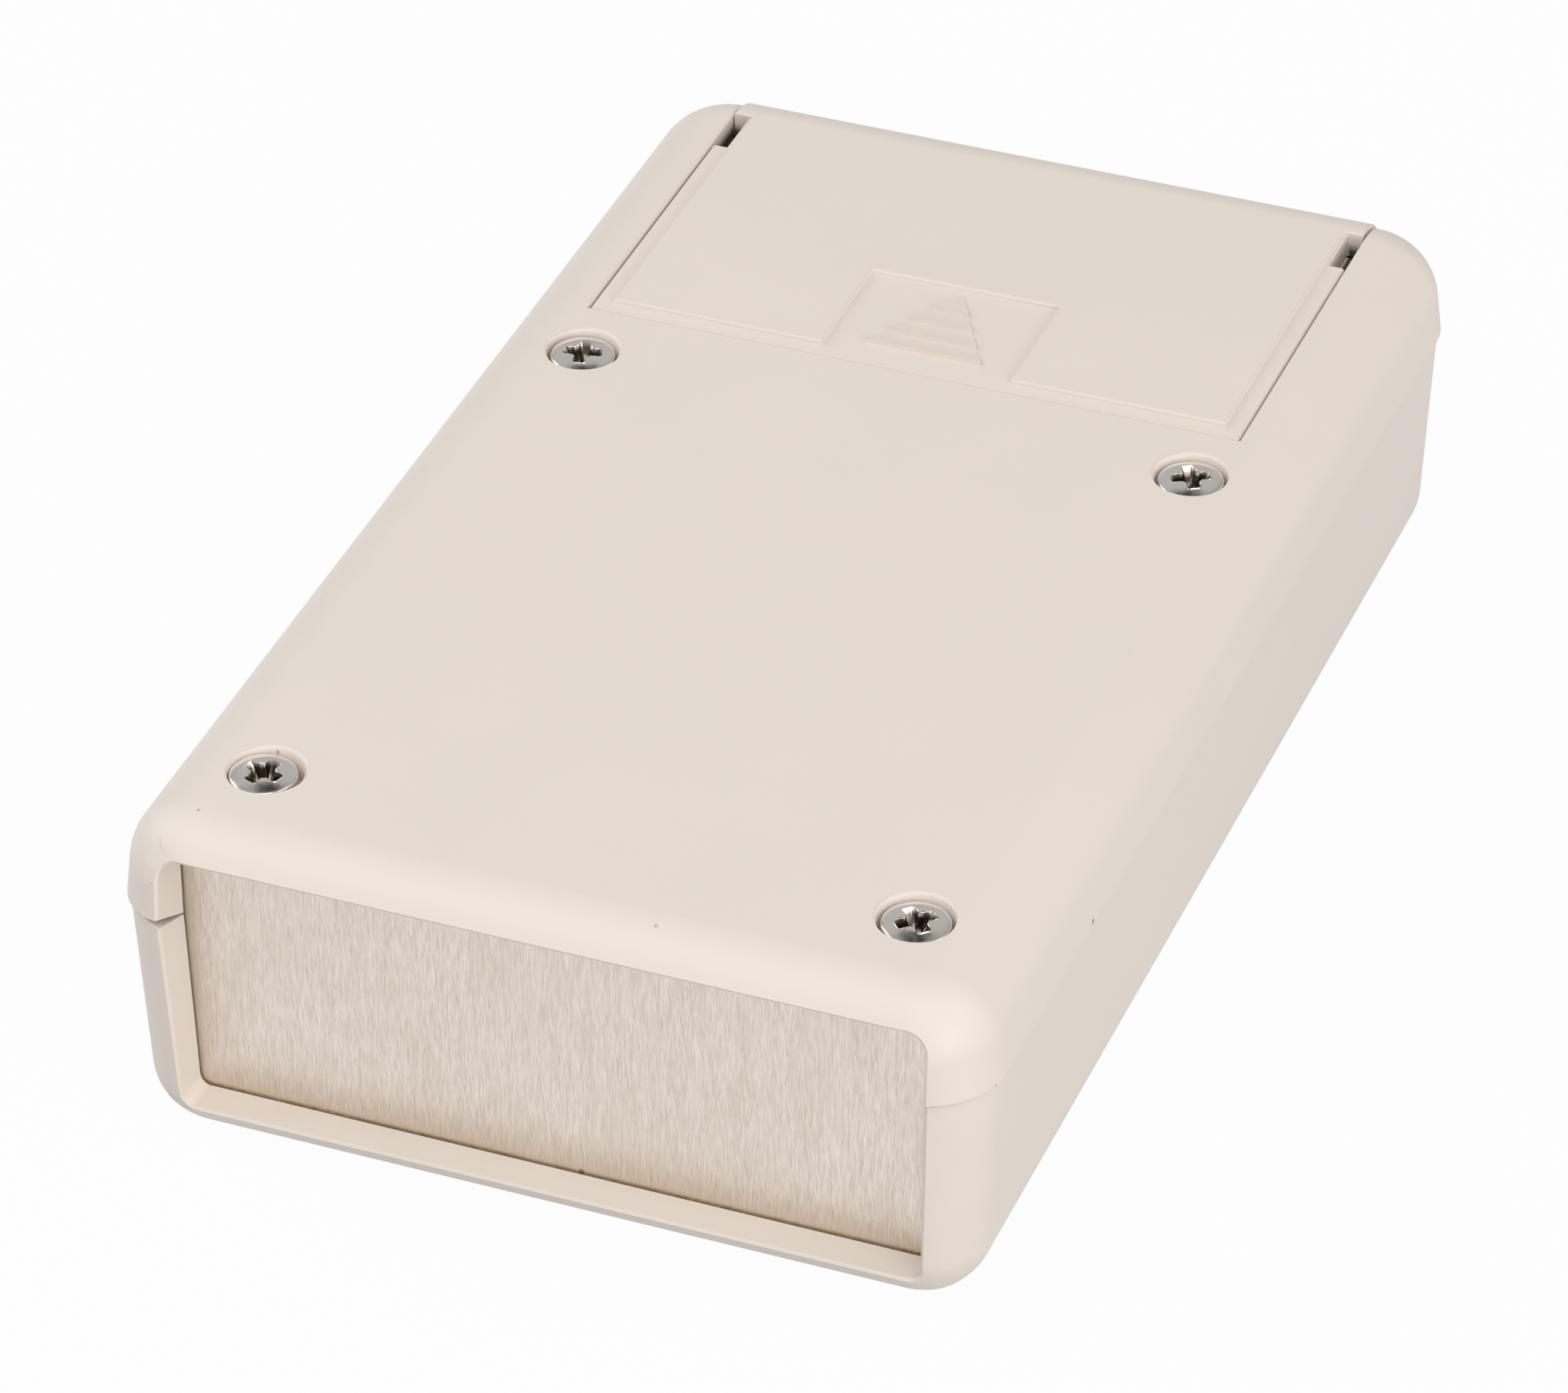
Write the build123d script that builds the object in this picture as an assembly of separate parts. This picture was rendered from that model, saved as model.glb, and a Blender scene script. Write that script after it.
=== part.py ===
"""Handheld instrument enclosure, lying on its front face with its rear side up.

Two moulded shells meet at a parting line and are held by four screws that are sunk in the rear face.
The near end is closed by a loose metal panel, set back in a frame and caught in slots of both shells.
The far end of the rear face is a battery door that slides off over the far end. Under it lies a
compartment for two round cells side by side, with sprung contacts.

Frame: +Z up, the front face on z = 0, +Y towards the far end that the door slides off, X across.
"""
from build123d import *
from math import radians, tan
import os

# The case
case_length = 135.4
front_depth = 24.1        # front face to parting line
rear_depth = 9.4          # parting line to rear face
plan_corner_r = 7.3       # corners seen from above, at the parting line
front_edge_r = 6.1        # rounding between the front face and its walls
rear_edge_r = 6.2         # rounding between the rear face and its walls
front_draft = 2.9         # degrees, on the front shell's sides and ends
rear_side_draft = 6.6     # degrees
rear_end_draft = 1.0      # degrees
wall = 2.4
parting_step = 0.3        # the rear shell stands this far proud of the front shell
edge_break = 0.3          # small bevel on the edges of the end opening and the front shell's rim

# The lip of the front shell that locates the rear shell
lip_thickness = 1.0
lip_height = 1.1
lip_clearance = 0.1

# The near end: a frame, then a slot that holds the panel, then a rib behind it
reveal_depth = 5.1        # case end to the back of the frame
frame_side = 5.0          # beside the opening, at the parting line
opening_lean = 0.7        # how far each side leans in at the foot of the opening
opening_floor = 3.8       # height over the front face
opening_headroom = 2.8    # below the rear face
opening_foot_r = 1.2
opening_head_r = 2.0
slot_width = 2.0
slot_clearance = 0.15
rib_thickness = 1.6
panel_thickness = 1.5
panel_lap = 1.0           # panel hidden behind the frame, above and below
panel_side_lap = 0.9      # the same at each side
panel_corner_r = 2.5

# Screws, in two rows across the case
screw_from_side = 10.3    # to the side of the case
near_screw_from_end = 13.05
far_screw_before_door = 7.15
counterbore_d = 6.8
counterbore_depth = 2.6
counterbore_lip = 0.2     # bevel round its mouth
screw_hole_d = 3.2
rear_post_d = 9.4
front_boss_d = 7.0
pilot_d = 2.5
pilot_depth = 11.0
web_thickness = 1.3
screw_head_d = 6.1
screw_head_side = 1.7     # height of its straight side
screw_head_height = 2.35
screw_crown_d = 4.4       # the flat in the middle of its top
screw_core_d = 2.4
screw_length = 14.0
recess_span = 3.8
recess_slot = 1.1
recess_depth = 1.5
recess_draft = 12.0       # degrees
screw_turns = {           # how each screw's cross is turned, in degrees
    "near_left": 72.0,
    "near_right": 44.0,
    "far_left": 11.0,
    "far_right": 29.0,
}

# Circuit board posts in the front shell
board_post_d = 5.0
board_post_height = 5.0
board_pilot_d = 2.0
board_pilot_depth = 4.5
board_post_from_side = 15.3
near_board_post_from_end = 26.0
far_board_post_before_door = 21.8

# Battery door
door_from_side = 8.1      # to each side of the case
door_length = 43.6        # from the far end of the case
door_gap = 0.15           # all round, in plan
door_edge = 0.2           # bevel on the door's rim and on the edge of its opening
door_seat_gap = 0.1       # over the ledges that carry it
door_thickness = 2.2
door_end_drop = 6.4       # how far it wraps down over the far end
door_sunk = 0.12          # its border lies this far below the rear face
pad_setback = 1.6         # from the door's near edge
pad_from_side = 1.8       # from each side of the door
pad_height = 0.45         # over the border
pad_edge = 0.2            # bevel round the pad's top
pocket_width = 18.7
pocket_length = 13.5
arrow_width = 11.4
arrow_length = 10.8
arrow_setback = 1.9       # from the pad's near edge
arrow_ridges = 4
arrow_pitch = 2.47
arrow_height = 0.4
window_width = 1.5
window_length = 5.7
window_from_end = 6.5
hook_thickness = 1.5
hook_reach = 1.6          # under the rear shell's skin
hook_gap = 0.15           # to that skin, and round each hook's path
hook_leg = 1.3
near_hook_width = 8.0
near_hook_spacing = 40.0

# Battery compartment, for two round cells that lie across the case
cell_d = 14.5
cell_length = 50.5
cell_play = 1.0           # over the two cells, along the case
compartment_wall = 2.0
ledge = 1.0               # how far the walls stand in under the door
contact_room = 2.85       # behind the contact plates
shelf_thickness = 1.6

# Contacts
plate_thickness = 0.4
plate_height = 12.0
plate_width = 12.1
plate_clearance = 0.1
guide_lip = 0.6           # how far the guide ribs stand in past the plates they hold
guide_width = 1.3
guide_bite = 0.6          # how far a plate's edge goes into its guide rib
button_d = 4.2
button_height = 1.0
button_draft = 14.0       # degrees
spring_wire_d = 0.8
spring_sides = 6
spring_foot_d = 8.4
spring_lean = 14.0        # degrees
spring_length = 7.2
spring_pressed = 4.7      # its length with a cell in place
spring_turns = 3
spring_steps = 8          # straight lengths of wire in one turn
tail_width = 3.0
tail_length = 4.5         # below the compartment's floor

# Worked out from the sizes above, the widths outward from the cells
plate_inner = (cell_length + button_height + spring_pressed) / 2
plate_outer = plate_inner + plate_thickness
compartment_half = plate_outer + contact_room
door_half = compartment_half + ledge - door_gap
pad_half = door_half - pad_from_side
case_width = 2 * (door_half + door_from_side)
parting_z = front_depth
case_height = front_depth + rear_depth
near_end = -case_length / 2
far_end = case_length / 2
rear_skin_z = case_height - wall
lip_inner = wall + parting_step
lip_outer = lip_inner - lip_thickness
frame_back = near_end + reveal_depth
slot_back = frame_back + slot_width
rib_back = slot_back + rib_thickness
opening_head = case_height - opening_headroom
opening_width = case_width - 2 * frame_side
panel_bottom = opening_floor - panel_lap
panel_top = opening_head + panel_lap
panel_width = opening_width + 2 * panel_side_lap
panel_height = panel_top - panel_bottom
door_near = far_end - door_length
screw_side = case_width / 2 - screw_from_side
screw_rows = (near_end + near_screw_from_end, door_near - far_screw_before_door)
screw_places = {
    "near_left": (-screw_side, screw_rows[0]),
    "near_right": (screw_side, screw_rows[0]),
    "far_left": (-screw_side, screw_rows[1]),
    "far_right": (screw_side, screw_rows[1]),
}
board_side = case_width / 2 - board_post_from_side
board_rows = (near_end + near_board_post_from_end, door_near - far_board_post_before_door)
pad_near = door_near + pad_setback
door_under = case_height - door_sunk - door_thickness
ledge_top = door_under - door_seat_gap
window_far = far_end - window_from_end
window_near = window_far - window_length
window_inner = door_half - window_width
hook_top = rear_skin_z - hook_gap
hook_bottom = hook_top - hook_thickness
hook_path_bottom = hook_bottom - hook_gap
near_hook_inner = (near_hook_spacing - near_hook_width) / 2
near_hook_outer = (near_hook_spacing + near_hook_width) / 2
near_hook_tip = door_near - door_gap - hook_reach
shelf_top = case_height - door_end_drop - door_seat_gap
compartment_near = door_near - door_gap + ledge
compartment_far = compartment_near + 2 * cell_d + cell_play
compartment_floor = hook_path_bottom - cell_d
cell_pitch = cell_d + cell_play / 2
cells_middle = (compartment_near + compartment_far) / 2
cell_rows = (cells_middle - cell_pitch / 2, cells_middle + cell_pitch / 2)
plate_middle_z = compartment_floor + cell_d / 2
reach = 2 * case_length   # longer than anything it has to cut through


def span(x0, x1, y0, y1, z0, z1):
    """A block between two corners."""
    return Pos((x0 + x1) / 2, (y0 + y1) / 2, (z0 + z1) / 2) * Box(x1 - x0, y1 - y0, z1 - z0)


def both_sides(solid):
    """A solid and its mirror image across the middle of the case."""
    return solid + mirror(solid, Plane.YZ)


def round_crown(block, edge_r):
    """A block, rounded where its walls meet its top."""
    crown = block.faces().sort_by(Axis.Z)[-1]
    return fillet(crown.edges(), edge_r)


def rear_block(grow=0.0):
    """The rear shell's outer form, grown or shrunk all round."""
    depth = rear_depth + grow
    block = Pos(0, 0, depth / 2) * Box(case_width + 2 * grow, case_length + 2 * grow, depth)
    block = draft(block.faces().filter_by(Axis.X), Plane.XY, rear_side_draft)
    block = draft(block.faces().filter_by(Axis.Y), Plane.XY, rear_end_draft)
    block = fillet(block.edges().group_by(Axis.Z)[1], plan_corner_r + grow)
    return Pos(0, 0, parting_z) * round_crown(block, rear_edge_r + grow)


def front_block(grow=0.0):
    """The front shell's outer form, grown or shrunk all round."""
    inset = parting_step - grow
    outline = RectangleRounded(case_width - 2 * inset, case_length - 2 * inset, plan_corner_r - inset)
    block = round_crown(extrude(outline, front_depth + grow, taper=front_draft), front_edge_r + grow)
    return Pos(0, 0, parting_z) * mirror(block, Plane.XY)


def case_cavity(block):
    """The room inside a shell, which ends at the rib behind the panel."""
    return block & span(-reach, reach, rib_back, reach, -reach, reach)


def lip_ring(outer_inset, inner_inset, height):
    """A low ring on the parting plane, between two insets from the rear shell's outline."""
    def outline(inset):
        return RectangleRounded(case_width - 2 * inset, case_length - 2 * inset, plan_corner_r - inset)
    ring = Pos(0, 0, parting_z) * extrude(outline(outer_inset) - outline(inner_inset), height)
    return ring & span(-reach, reach, rib_back, reach, parting_z, reach)


def panel_opening():
    """The near end's opening, cut along Y from outside the case to behind the panel's rib."""
    foot = opening_width / 2 - opening_lean
    side = opening_width / 2
    left = (-foot, opening_floor), (-side, parting_z), (-side, opening_head)
    right = (side, opening_head), (side, parting_z), (foot, opening_floor)
    outline = make_face(Polyline(*left, *right, close=True))
    outline = fillet(outline.vertices().group_by(Axis.Y)[0], opening_foot_r)
    outline = fillet(outline.vertices().group_by(Axis.Y)[-1], opening_head_r)
    return Pos(0, rib_back + rib_thickness, 0) * extrude(Plane.XZ * outline, reach)


def panel_plate(grow, y0, y1):
    """The end panel's form, or its slot where it is grown, between two places along Y."""
    outline = RectangleRounded(panel_width + 2 * grow, panel_height + 2 * grow, panel_corner_r + grow)
    plate = extrude(Plane.XZ * Pos(0, panel_bottom + panel_height / 2) * outline, y1 - y0)
    return Pos(0, y1, 0) * plate


def panel_slot():
    return panel_plate(slot_clearance, frame_back, slot_back)


def opening_edges(shell):
    """The edges where the near end's opening breaks out through the outside of a shell."""
    def outside(edge):
        box = edge.bounding_box()
        along = box.max.Y < frame_back - reveal_depth / 2
        level = opening_floor - edge_break < box.min.Z and box.max.Z < opening_head + edge_break
        return along and level and abs(edge.center().X) < opening_width / 2 + edge_break / 2
    return [edge for edge in shell.edges() if outside(edge)]


def rim_edges(shell):
    """The edges of the front shell's outside at the parting line."""
    inner = front_block(-edge_break)
    level = [edge for edge in shell.edges() if edge.bounding_box().min.Z > parting_z - edge_break]
    return [edge for edge in level if not inner.is_inside(edge @ 0.5)]


def open_near_end(block, hollow):
    """A shell's walls, with the slot for the end panel and the opening in front of it."""
    return block - case_cavity(hollow) - panel_slot() - panel_opening()


def counterbore():
    """Hole for a screw head with a bevelled lip, its mouth at z = 0."""
    r = counterbore_d / 2
    lip = counterbore_lip
    foot = -counterbore_depth
    outline = Polyline((r, -lip), (r, foot), (0, foot), (0, lip), (r + 2 * lip, lip), close=True)
    return revolve(Plane.XZ * make_face(outline), Axis.Z)


def screw_web(x, y, low, high):
    """Ties a screw post to the side wall beside it."""
    into_wall = (case_width - wall) / 2 if x > 0 else -(case_width - wall) / 2
    ends = sorted((x, into_wall))
    return span(*ends, y - web_thickness / 2, y + web_thickness / 2, low, high)


def make_front_shell():
    shell = open_near_end(front_block(), front_block(-wall))
    shell = chamfer(opening_edges(shell) + rim_edges(shell), edge_break)
    within = front_block(-wall / 2)
    for x, y in screw_places.values():
        post = Pos(x, y, wall / 2) * extrude(Circle(front_boss_d / 2), parting_z - wall / 2)
        shell += (post + screw_web(x, y, wall / 2, parting_z - lip_height)) & within
    board_top = wall + board_post_height
    for x in (-board_side, board_side):
        for y in board_rows:
            shell += Pos(x, y, wall / 2) * extrude(Circle(board_post_d / 2), board_top - wall / 2)
            shell -= Pos(x, y, board_top) * extrude(Circle(board_pilot_d / 2), -board_pilot_depth)
    for x, y in screw_places.values():
        shell -= Pos(x, y, parting_z) * extrude(Circle(pilot_d / 2), -pilot_depth)
    return shell + lip_ring(lip_outer, lip_inner, lip_height)


def hook_path(x0, x1, y0):
    """The room that a hook sweeps as the door slides off over the far end."""
    return span(x0 - hook_gap, x1 + hook_gap, y0 - hook_gap, reach, hook_path_bottom, rear_skin_z)


def compartment_body(side_reach):
    """The battery compartment, a wall across the case and a shelf under the door's end."""
    half = compartment_half
    near, far = compartment_near, compartment_far
    into_skin = rear_skin_z + wall / 2
    outer = span(-half - compartment_wall, half + compartment_wall, near - compartment_wall,
                 far + compartment_wall, compartment_floor - compartment_wall, into_skin)
    inner = span(-half, half, near, far, compartment_floor, reach)
    cross_wall = span(-side_reach, side_reach, far, far + compartment_wall, parting_z, into_skin)
    shelf = span(-side_reach, side_reach, far, far_end, shelf_top - shelf_thickness, shelf_top)
    return outer + cross_wall + shelf - inner


def plate_guides(y0, y1):
    """Two ribs on a compartment wall that hold the edges of a contact plate, on the +X side."""
    across = plate_inner - guide_lip, compartment_half + compartment_wall / 2
    upward = compartment_floor - compartment_wall / 2, compartment_floor + plate_height
    ribs = span(*across, y0 + guide_bite - guide_width, y0 + guide_bite, *upward)
    ribs += span(*across, y1 - guide_bite, y1 - guide_bite + guide_width, *upward)
    room = span(plate_inner - plate_clearance, plate_outer + plate_clearance,
                y0 - plate_clearance, y1 + plate_clearance, compartment_floor, reach)
    return ribs - room


def tail_slot(y):
    """The slot in the compartment's floor for the tail of a contact, on the +X side."""
    half = tail_width / 2 + plate_clearance
    across = plate_inner - plate_clearance, plate_outer + plate_clearance
    return span(*across, y - half, y + half, compartment_floor - reach, compartment_floor + plate_clearance)


def door_opening_edges(shell):
    """The rear face's edges along the near edge and the sides of the door's opening."""
    def beside_door(edge):
        middle = edge.center()
        across = abs(middle.X) < door_gap and abs(middle.Y - door_near) < 2 * door_gap
        along = abs(abs(middle.X) - door_half - door_gap) < door_gap / 2 and middle.Y > door_near
        return edge.bounding_box().min.Z > case_height - door_gap and (across or along)
    return [edge for edge in shell.edges() if beside_door(edge)]


def make_rear_shell():
    within = rear_block(-wall / 2)
    shell = open_near_end(rear_block(), rear_block(-wall))
    shell = chamfer(opening_edges(shell), edge_break)
    for x, y in screw_places.values():
        post = Pos(x, y, parting_z) * extrude(Circle(rear_post_d / 2), rear_depth)
        shell += (post + screw_web(x, y, parting_z + lip_height, case_height)) & within
    inside = span(-reach, reach, -reach, reach, -reach, parting_z) + within
    shell += compartment_body(case_width / 2) & inside
    near_plate = cell_rows[0] - plate_width / 2, cell_rows[0] + plate_width / 2
    far_plate = cell_rows[1] - plate_width / 2, cell_rows[1] + plate_width / 2
    shell += plate_guides(*near_plate)
    shell += plate_guides(*far_plate)
    shell += mirror(plate_guides(near_plate[0], far_plate[1]), Plane.YZ)
    shell -= tail_slot(cell_rows[0]) + tail_slot(cell_rows[1])

    edge = door_half + door_gap
    shell -= span(-edge, edge, door_near - door_gap, reach, ledge_top, reach)
    shell = chamfer(door_opening_edges(shell), door_edge)
    shell -= span(-edge, edge, compartment_far + compartment_wall, reach, shelf_top, reach)
    shell -= both_sides(hook_path(window_inner - hook_leg, door_half + hook_reach, window_near))
    shell -= both_sides(hook_path(near_hook_inner, near_hook_outer, near_hook_tip))

    for x, y in screw_places.values():
        shell -= Pos(x, y, case_height) * counterbore()
        shell -= Pos(x, y, parting_z) * extrude(Circle(screw_hole_d / 2), rear_depth)
    groove = lip_outer - lip_clearance, lip_inner + lip_clearance
    return shell - lip_ring(*groove, lip_height + lip_clearance)


def make_arrow(floor):
    """A raised arrow of ridges that points the way the door slides, steep where the thumb pushes."""
    base = pad_near + arrow_setback
    tip = base + arrow_length
    low = floor - arrow_height
    plan = make_face(Polyline((-arrow_width / 2, base), (arrow_width / 2, base), (0, tip), close=True))
    ridges = Part()
    for k in range(arrow_ridges):
        start = base + k * arrow_pitch
        end = start + arrow_pitch if k < arrow_ridges - 1 else tip
        crest = floor + arrow_height
        section = make_face(Polyline((start, low), (start, crest), (end, floor), (end, low), close=True))
        ridges += extrude(Plane.YZ * section, arrow_width / 2, both=True)
    return ridges & (Pos(0, 0, low) * extrude(plan, 2 * arrow_height))


def side_hook():
    """A hook on the +X side that runs under the rear shell's skin, below its window in the door."""
    inner = window_inner - hook_leg
    leg = span(inner, window_inner, window_near, window_far, hook_bottom, door_under + door_thickness / 2)
    return leg + span(inner, door_half + hook_reach, window_near, window_far, hook_bottom, hook_top)


def near_hook():
    """A hook at the door's near edge, on the +X side."""
    across = near_hook_inner, near_hook_outer
    leg_start = compartment_near + hook_gap
    leg_end = leg_start + hook_leg
    leg = span(*across, leg_start, leg_end, hook_bottom, door_under + door_thickness / 2)
    return leg + span(*across, near_hook_tip, leg_end, hook_bottom, hook_top)


def top_rim(solid, top, last_cross_edge):
    """The edges round a door piece's top, and not the seam across it where its far rounding starts."""
    def on_rim(edge):
        seam = abs(edge.center().X) < door_gap and edge.center().Y > last_cross_edge + door_gap
        upright = edge.geom_type == GeomType.LINE and abs(edge.tangent_at(0.5).Z) > 0.9
        return edge.bounding_box().max.Z > top - door_gap and not seam and not upright
    return [edge for edge in solid.edges() if on_rim(edge)]


def make_pad():
    """The raised middle of the door, with the thumb pocket open to its near edge."""
    low = case_height - door_end_drop
    pad = span(-pad_half, pad_half, pad_near, reach, low, reach)
    pad += span(-door_half, door_half, window_far, reach, low, reach)
    pad -= span(-pocket_width / 2, pocket_width / 2, -reach, pad_near + pocket_length, low, reach)
    proud = pad_height - door_sunk
    pad &= rear_block(proud)
    return chamfer(top_rim(pad, case_height + proud, pad_near + pocket_length), pad_edge)


def make_battery_door():
    border_top = case_height - door_sunk
    border = span(-door_half, door_half, door_near, reach, case_height - door_end_drop, reach)
    border &= rear_block(-door_sunk)
    border = chamfer(top_rim(border, border_top, door_near), door_edge)
    door = border + make_pad() - rear_block(-door_sunk - door_thickness)
    window = span(window_inner, door_half + window_width, window_near, window_far, door_under - wall, reach)
    door -= both_sides(window)
    door += make_arrow(border_top)
    door += both_sides(side_hook()) + both_sides(near_hook())
    return door


def make_end_panel():
    middle = (frame_back + slot_back) / 2
    return panel_plate(0, middle - panel_thickness / 2, middle + panel_thickness / 2)


def make_screw(turn):
    """Pan head screw, its head's underside at z = 0."""
    head_r = screw_head_d / 2
    core_r = screw_core_d / 2
    crown = screw_head_height
    shank = (0, -screw_length), (core_r, -screw_length), (core_r, 0)
    side = (head_r, 0), (head_r, screw_head_side)
    top = (screw_crown_d / 2, crown), (0, crown)
    outline = make_face(Polyline(*shank, *side, *top, close=True))
    screw = revolve(Plane.XZ * outline, Axis.Z)
    slot = extrude(Rectangle(recess_span, recess_slot), -recess_depth, taper=recess_draft)
    screw -= Pos(0, 0, crown) * (slot + Rot(0, 0, 90) * slot)
    return Rot(0, 0, turn) * screw


def contact_plate(y0, y1):
    """A flat plate in its guides, on the +X side."""
    foot = compartment_floor + plate_clearance
    return span(plate_inner, plate_outer, y0, y1, foot, compartment_floor + plate_height)


def contact_tail(y):
    half = tail_width / 2
    upward = compartment_floor - tail_length, compartment_floor + 2 * plate_clearance
    return span(plate_inner, plate_outer, y - half, y + half, *upward)


def contact_button(y):
    button = extrude(Circle(button_d / 2), button_height, taper=button_draft)
    return Pos(plate_inner, y, plate_middle_z) * Rot(0, -90, 0) * button


def contact_spring(y):
    """A conical spring that stands on a plate and points across the case, bent in short lengths."""
    bends = spring_turns * spring_steps
    corners = []
    for k in range(bends + 1):
        rise = spring_length * k / bends
        out = spring_foot_d / 2 - rise * tan(radians(spring_lean))
        corners.append(Vector(out, 0, rise).rotate(Axis.Z, 360 * k / spring_steps))
    path = Polyline(*corners)
    section = Plane(origin=path @ 0, z_dir=path % 0) * RegularPolygon(spring_wire_d / 2, spring_sides)
    wire = sweep(section, path=path, transition=Transition.RIGHT)
    return Pos(plate_inner - spring_wire_d / 4, y, plate_middle_z) * Rot(0, -90, 0) * wire


def make_contact(buttons, springs, tails):
    """One contact on the +X side, with a button, a spring or a tail at the rows named."""
    rows = sorted(set(buttons + springs))
    contact = contact_plate(rows[0] - plate_width / 2, rows[-1] + plate_width / 2)
    for y in buttons:
        contact += contact_button(y)
    for y in springs:
        contact += contact_spring(y)
    for y in tails:
        contact += contact_tail(y)
    return contact


def build():
    near_cell, far_cell = cell_rows
    parts = {
        "front_shell": make_front_shell(),
        "rear_shell": make_rear_shell(),
        "battery_door": make_battery_door(),
        "end_panel": make_end_panel(),
        "contact_plus": make_contact([near_cell], [], [near_cell]),
        "contact_minus": make_contact([], [far_cell], [far_cell]),
        "contact_bridge": mirror(make_contact([far_cell], [near_cell], []), Plane.YZ),
    }
    seat = case_height - counterbore_depth
    for name, (x, y) in screw_places.items():
        parts["screw_" + name] = Pos(x, y, seat) * make_screw(screw_turns[name])
    return parts


os.makedirs("parts", exist_ok=True)
for node, solid in build().items():
    export_step(solid, "parts/" + node + ".step")
    print(node, round(solid.volume, 1), "mm3")
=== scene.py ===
# %% [markdown]
# # A handheld instrument case, seen from behind
# The object is a plastic case for a handheld instrument. It lies on its front face, so
# that its back shows: two moulded shells held together by four sunk screws, a door
# that slides off the battery compartment, and a brushed metal plate in the near end.
# Every rigid shape comes from the CAD model. This notebook gives those shapes soft
# edges and real finishes, rebuilds the smallest metal pieces, and sets up the studio.

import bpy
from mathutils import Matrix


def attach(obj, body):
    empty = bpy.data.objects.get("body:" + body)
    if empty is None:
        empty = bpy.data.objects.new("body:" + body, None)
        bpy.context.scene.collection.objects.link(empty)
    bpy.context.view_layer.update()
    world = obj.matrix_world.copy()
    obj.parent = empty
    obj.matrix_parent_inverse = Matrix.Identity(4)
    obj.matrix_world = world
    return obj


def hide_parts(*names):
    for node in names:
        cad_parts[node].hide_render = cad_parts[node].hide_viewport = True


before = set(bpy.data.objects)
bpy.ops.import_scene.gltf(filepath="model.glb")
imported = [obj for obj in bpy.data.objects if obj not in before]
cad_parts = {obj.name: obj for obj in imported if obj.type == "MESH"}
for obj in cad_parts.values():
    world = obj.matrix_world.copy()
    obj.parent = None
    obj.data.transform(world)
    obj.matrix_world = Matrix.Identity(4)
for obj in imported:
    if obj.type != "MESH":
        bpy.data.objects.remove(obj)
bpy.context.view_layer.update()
print("nodes:", ", ".join(sorted(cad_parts)))

# %% Modules and units
from math import cos, pi, radians, sin

import bmesh
import bpy
from mathutils import Matrix, Vector

MM = 0.001
scene = bpy.context.scene

# %% [markdown]
# ## The camera
# The picture was taken with a long lens from the near right, high up. The angles, the
# place and the lens were fitted to the edges and the four screw holes in the picture,
# so they are plain numbers here. A long lens keeps the far end almost as wide as the
# near end.

# %% Camera
camera_azimuth = 21.580992
camera_elevation = 35.377151
camera_roll = -0.547125
camera_place = (0.21052062, -0.54078395, 0.42454723)
camera_data = bpy.data.cameras.new("camera")
camera_data.sensor_width = 36.0
camera_data.lens = 177.2517
camera_data.clip_start = 0.01
camera_data.clip_end = 20.0
camera = bpy.data.objects.new("camera", camera_data)
scene.collection.objects.link(camera)
camera.rotation_mode = "QUATERNION"
turn = (
    Matrix.Rotation(radians(camera_azimuth), 3, "Z")
    @ Matrix.Rotation(radians(90 - camera_elevation), 3, "X")
    @ Matrix.Rotation(radians(camera_roll), 3, "Z")
)
camera.rotation_quaternion = turn.to_quaternion()
camera.location = camera_place
scene.camera = camera
print("camera at", tuple(round(x, 3) for x in camera.location))

# %% [markdown]
# ## Small helpers for materials
# A finish is a Principled BSDF fed by a few procedural patterns. All patterns read
# Object coordinates, which are metres in the frame of the model, so a scale of 1000
# gives features about one millimetre across. The helpers below only save typing: each
# one adds a node, feeds its inputs and hands back its output.

# %% Helpers for nodes
def new_finish(name, colour, roughness, metallic=0.0):
    material = bpy.data.materials.new(name)
    material.use_nodes = True
    shader = material.node_tree.nodes["Principled BSDF"]
    shader.inputs["Base Color"].default_value = (*colour, 1.0)
    shader.inputs["Roughness"].default_value = roughness
    shader.inputs["Metallic"].default_value = metallic
    print("finish:", name)
    return material, shader


def add_node(material, kind, **inputs):
    node = material.node_tree.nodes.new("ShaderNode" + kind)
    for socket, value in inputs.items():
        node.inputs[socket.replace("_", " ")].default_value = value
    return node


def feed(material, value, socket):
    """Links a node's output to a socket, or sets the socket to a number or a colour."""
    if isinstance(value, bpy.types.NodeSocket):
        material.node_tree.links.new(value, socket)
    elif socket.type == "RGBA":
        socket.default_value = (*value, 1.0)
    else:
        socket.default_value = value


def object_place(material):
    return add_node(material, "TexCoord").outputs["Object"]


def object_axes(material):
    node = add_node(material, "SeparateXYZ")
    feed(material, object_place(material), node.inputs["Vector"])
    return node.outputs

# %% Helpers for patterns
MIX_FACTOR, MIX_FIRST, MIX_SECOND, MIX_RESULT = 0, 6, 7, 2  # the Mix node's colour sockets


def pattern_place(material, scale=(1.0, 1.0, 1.0)):
    """Object coordinates, squeezed or drawn out along the axes."""
    mapping = add_node(material, "Mapping", Scale=scale)
    feed(material, object_place(material), mapping.inputs["Vector"])
    return mapping.outputs["Vector"]


def noise(material, vector, scale, detail=2.0, roughness=0.5):
    node = add_node(material, "TexNoise", Scale=scale, Detail=detail, Roughness=roughness)
    feed(material, vector, node.inputs["Vector"])
    return node.outputs["Fac"]


def remap(material, value, old, new):
    """Takes the range old, a pair of numbers, to the range new, and stops at its ends."""
    node = add_node(
        material, "MapRange", From_Min=old[0], From_Max=old[1], To_Min=new[0], To_Max=new[1]
    )
    feed(material, value, node.inputs["Value"])
    return node.outputs["Result"]


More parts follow.
